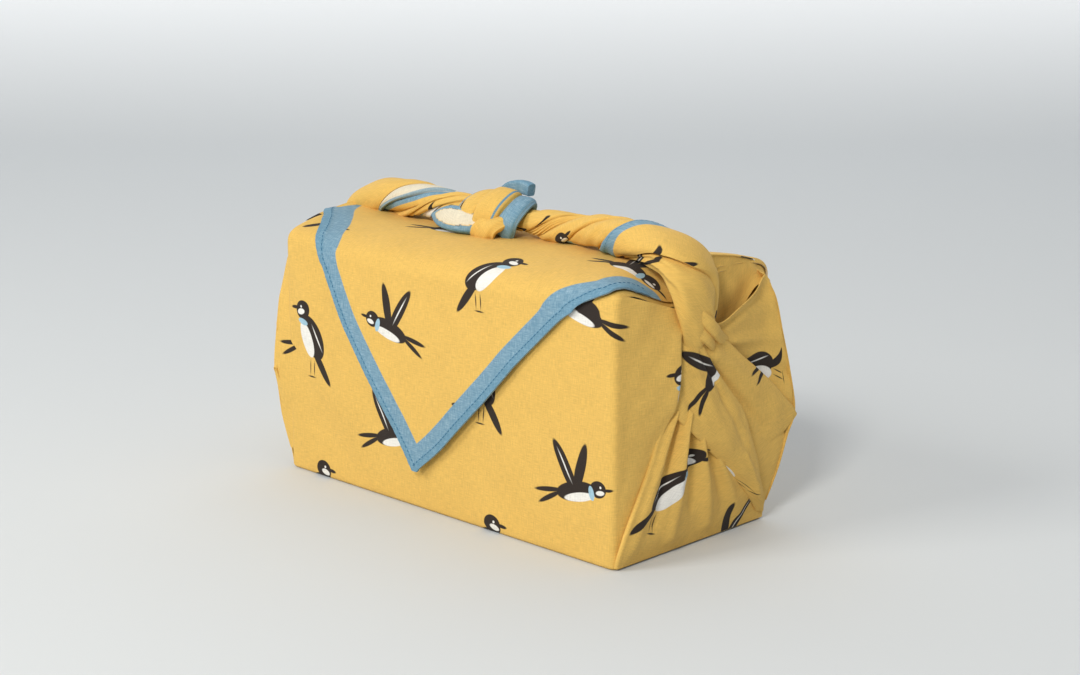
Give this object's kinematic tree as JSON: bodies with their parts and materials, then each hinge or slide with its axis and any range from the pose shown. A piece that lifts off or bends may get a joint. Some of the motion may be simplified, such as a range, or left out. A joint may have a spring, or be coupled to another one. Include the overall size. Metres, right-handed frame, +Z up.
{
  "type": "furoshiki wrap",
  "caption": "Cotton wrapping cloth folded on its diagonal round a long box form, its gathered end corners twisted into tails and knotted along the top",
  "frame": {"origin": "middle of the base of the whole wrap, on the surface it stands on", "axes": "+X along the wrap's length towards the end that shows in the picture, -Y out of the front wall with the hanging point, +Z up"},
  "size_m": [0.3349, 0.1584, 0.2048],
  "materials": {
    "cotton": "matte plain-weave printed cotton"
  },
  "bodies": {
    "root": {"furoshiki": "cotton"}
  },
  "joints": []
}
